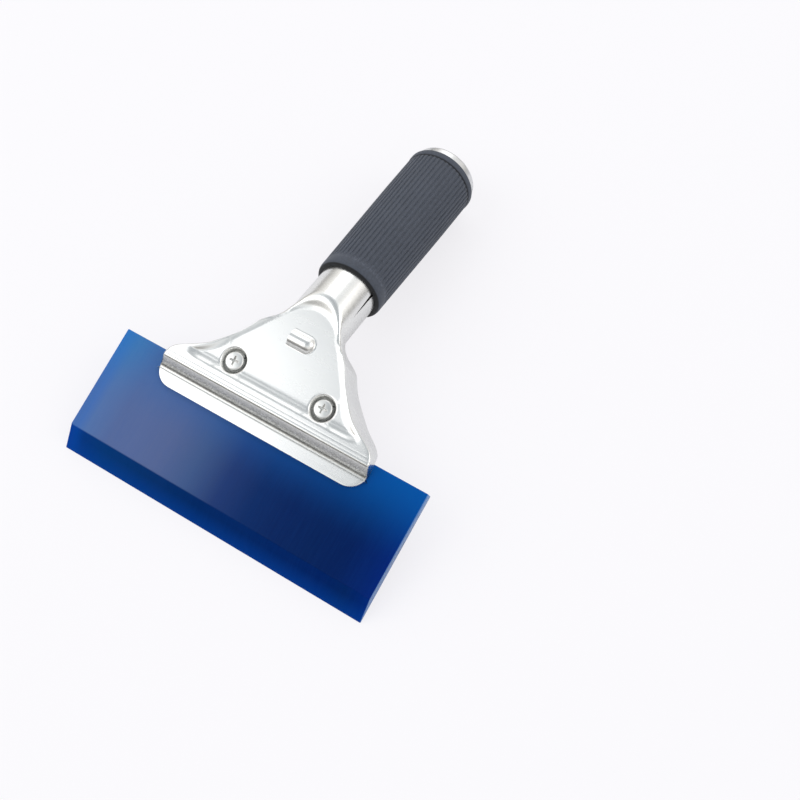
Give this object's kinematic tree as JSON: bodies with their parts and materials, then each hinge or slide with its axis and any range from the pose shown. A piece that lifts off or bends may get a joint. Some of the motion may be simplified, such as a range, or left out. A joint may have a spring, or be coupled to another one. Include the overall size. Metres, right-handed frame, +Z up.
{
  "type": "squeegee applicator",
  "caption": "Hand squeegee for laying film: a bevelled polyurethane blade clamped in a pressed stainless head whose tail is rolled into a tube with a ribbed rubber grip and a pole socket.",
  "frame": {"origin": "middle of the footprint, on the surface that the tool lies on, between the working edge and the far grip collar", "axes": "+X along the blade, +Y from the working edge towards the handle's end, +Z up out of the surface that the tool lies on"},
  "size_m": [0.15, 0.2034, 0.0451],
  "materials": {
    "pressed_steel": "bright pressed stainless sheet, lightly brushed",
    "ring_steel": "turned stainless",
    "screw_steel": "nickel-plated steel",
    "blade_polyurethane": "cast translucent blue polyurethane",
    "grip_rubber": "matt ribbed rubber",
    "socket_plastic": "moulded black plastic"
  },
  "bodies": {
    "handle": {"handle_body": "pressed_steel", "grip_sleeve": "grip_rubber", "end_ring": "ring_steel", "pole_socket": "socket_plastic", "left_lock_washer": "screw_steel", "right_lock_washer": "screw_steel"},
    "jaw": {"jaw_plate": "pressed_steel", "left_nut": "screw_steel", "right_nut": "screw_steel"},
    "blade": {"blade": "blade_polyurethane"},
    "left_screw": {"left_screw": "screw_steel"},
    "right_screw": {"right_screw": "screw_steel"}
  },
  "joints": [
    {"name": "left_screw_turn", "type": "hinge", "parent": "handle", "child": "left_screw", "pos_m": [-0.0235, -0.0398, 0.02707], "axis": [0, -0.2883, 0.9575], "range_deg": [0, 721]},
    {"name": "right_screw_turn", "type": "hinge", "parent": "handle", "child": "right_screw", "pos_m": [0.0205, -0.0398, 0.02707], "axis": [0, -0.2883, 0.9575], "range_deg": [0, 721]},
    {"name": "jaw_slack", "type": "slide", "parent": "handle", "child": "jaw", "axis": [0, 0.2883, -0.9575], "range_m": [0, 0.0014]},
    {"name": "blade_out", "type": "slide", "parent": "handle", "child": "blade", "axis": [0, -0.9575, -0.2883], "range_m": [0, 0.02]}
  ],
  "couplings": [
    {"joint": "left_screw_turn", "follows": "jaw_slack", "rad_per_m": 8976},
    {"joint": "right_screw_turn", "follows": "jaw_slack", "rad_per_m": 8976}
  ]
}
